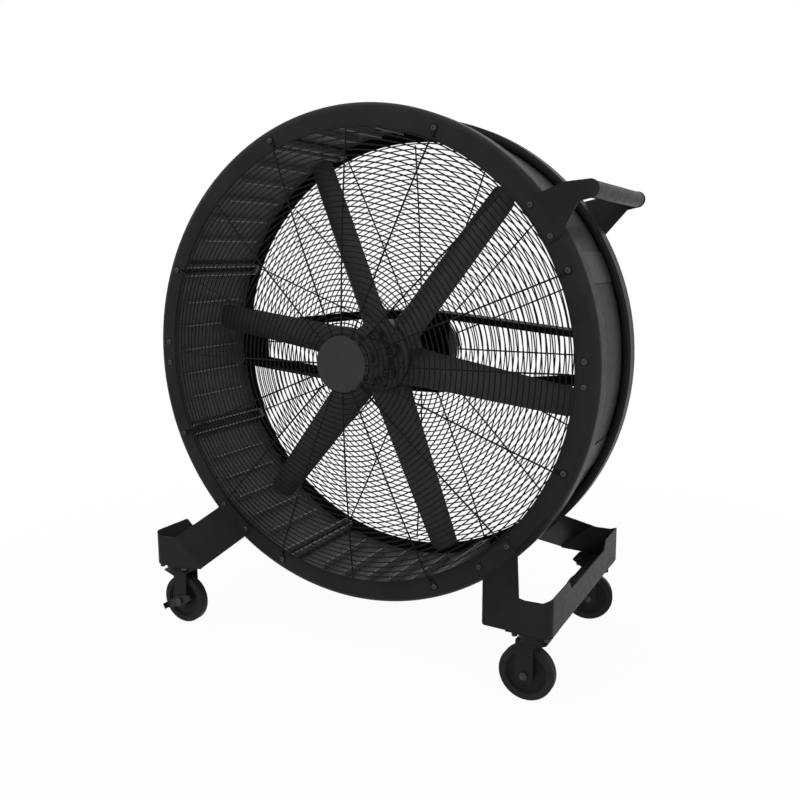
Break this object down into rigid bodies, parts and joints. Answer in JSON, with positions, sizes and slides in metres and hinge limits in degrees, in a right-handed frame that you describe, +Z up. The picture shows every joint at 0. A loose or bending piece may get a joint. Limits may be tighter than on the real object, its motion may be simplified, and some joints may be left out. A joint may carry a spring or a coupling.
{
  "type": "drum fan",
  "caption": "Large industrial drum fan with domed wire guards, a direct-drive bladed rotor, a side handle and a sheet-metal stand on swivel casters.",
  "frame": {"origin": "on the floor under the middle of the drum, at the centre of the footprint box", "axes": "+Z up, -Y towards the outlet side with the badge disc, +X towards the side with the handle"},
  "size_m": [1.2698, 0.616, 1.39],
  "materials": {
    "drum_black": "satin black powder coat",
    "guard_black": "black powder-coated wire",
    "badge_grey": "bare satin disc",
    "zinc": "dark zinc plate",
    "tube_grey": "smooth grey tube",
    "wall_grey": "satin black powder coat on fine-ridged sheet",
    "blade_grey": "satin dark grey coated aluminium",
    "motor_black": "black coat",
    "steel": "ground steel",
    "stator_copper": "varnished windings",
    "gland_black": "moulded nylon",
    "caster_steel": "black coated pressing",
    "lever_steel": "grey zinc plated pressing",
    "tyre_rubber": "dark grey rubber",
    "core_black": "moulded black nylon"
  },
  "bodies": {
    "drum": {"bar_gussets": "motor_black", "cable_gland": "gland_black", "caster_bolts": "zinc", "caster_plates": "caster_steel", "front_guard_rings": "guard_black", "front_guard_spokes": "guard_black", "front_ring": "drum_black", "front_ring_bolts": "zinc", "guard_badge_disc": "badge_grey", "handle_bracket_front": "drum_black", "handle_bracket_rear": "drum_black", "handle_tube": "tube_grey", "motor_bar_lower": "motor_black", "motor_bar_upper": "motor_black", "motor_bearings": "steel", "motor_end_bell": "motor_black", "motor_housing": "motor_black", "motor_mount_plate": "motor_black", "motor_neck": "motor_black", "motor_plate_bolts": "zinc", "motor_stator": "stator_copper", "posts": "wall_grey", "rear_guard_rings": "guard_black", "rear_guard_spokes": "guard_black", "rear_ring": "drum_black", "rear_ring_bolts": "zinc", "side_panels": "wall_grey", "stand_left": "drum_black", "stand_right": "drum_black", "terminal_box": "motor_black"},
    "rotor": {"motor_shaft": "steel", "motor_rotor_core": "steel", "fan_hub": "blade_grey", "hub_bolts": "zinc", "hub_washer": "zinc", "blade_1": "blade_grey", "blade_2": "blade_grey", "blade_3": "blade_grey", "blade_4": "blade_grey", "blade_5": "blade_grey", "blade_6": "blade_grey"},
    "fork_front_left": {"caster_fork_front_left": "caster_steel", "axle_front_left": "zinc"},
    "wheel_front_left": {"wheel_core_front_left": "core_black", "wheel_tyre_front_left": "tyre_rubber"},
    "brake_front_left": {"brake_lever_front_left": "lever_steel"},
    "fork_front_right": {"caster_fork_front_right": "caster_steel", "axle_front_right": "zinc"},
    "wheel_front_right": {"wheel_core_front_right": "core_black", "wheel_tyre_front_right": "tyre_rubber"},
    "fork_rear_left": {"caster_fork_rear_left": "caster_steel", "axle_rear_left": "zinc"},
    "wheel_rear_left": {"wheel_core_rear_left": "core_black", "wheel_tyre_rear_left": "tyre_rubber"},
    "fork_rear_right": {"caster_fork_rear_right": "caster_steel", "axle_rear_right": "zinc"},
    "wheel_rear_right": {"wheel_core_rear_right": "core_black", "wheel_tyre_rear_right": "tyre_rubber"},
    "brake_rear_right": {"brake_lever_rear_right": "lever_steel"}
  },
  "joints": [
    {"name": "rotor_spin", "type": "hinge", "parent": "drum", "child": "rotor", "pos_m": [0, 0, 0.755], "axis": [0, -1, 0], "continuous": true},
    {"name": "swivel_front_left", "type": "hinge", "parent": "drum", "child": "fork_front_left", "pos_m": [-0.523, -0.262, 0.16], "axis": [0, 0, 1], "continuous": true},
    {"name": "roll_front_left", "type": "hinge", "parent": "fork_front_left", "child": "wheel_front_left", "pos_m": [-0.507, -0.262, 0.067], "axis": [0, 1, 0], "continuous": true},
    {"name": "brake_front_left", "type": "hinge", "parent": "fork_front_left", "child": "brake_front_left", "pos_m": [-0.507, -0.262, 0.067], "axis": [0, 1, 0], "range_deg": [0, 40]},
    {"name": "swivel_front_right", "type": "hinge", "parent": "drum", "child": "fork_front_right", "pos_m": [0.523, -0.262, 0.16], "axis": [0, 0, 1], "continuous": true},
    {"name": "roll_front_right", "type": "hinge", "parent": "fork_front_right", "child": "wheel_front_right", "pos_m": [0.507, -0.262, 0.067], "axis": [0, -1, 0], "continuous": true},
    {"name": "swivel_rear_left", "type": "hinge", "parent": "drum", "child": "fork_rear_left", "pos_m": [-0.523, 0.262, 0.16], "axis": [0, 0, 1], "continuous": true},
    {"name": "roll_rear_left", "type": "hinge", "parent": "fork_rear_left", "child": "wheel_rear_left", "pos_m": [-0.50735, 0.26533, 0.067], "axis": [-0.2079, 0.9781, 0], "continuous": true},
    {"name": "swivel_rear_right", "type": "hinge", "parent": "drum", "child": "fork_rear_right", "pos_m": [0.523, 0.262, 0.16], "axis": [0, 0, 1], "continuous": true},
    {"name": "roll_rear_right", "type": "hinge", "parent": "fork_rear_right", "child": "wheel_rear_right", "pos_m": [0.50748, 0.25813, 0.067], "axis": [0.2419, -0.9703, 0], "continuous": true},
    {"name": "brake_rear_right", "type": "hinge", "parent": "fork_rear_right", "child": "brake_rear_right", "pos_m": [0.50748, 0.25813, 0.067], "axis": [0.2419, -0.9703, 0], "range_deg": [0, 40]}
  ]
}
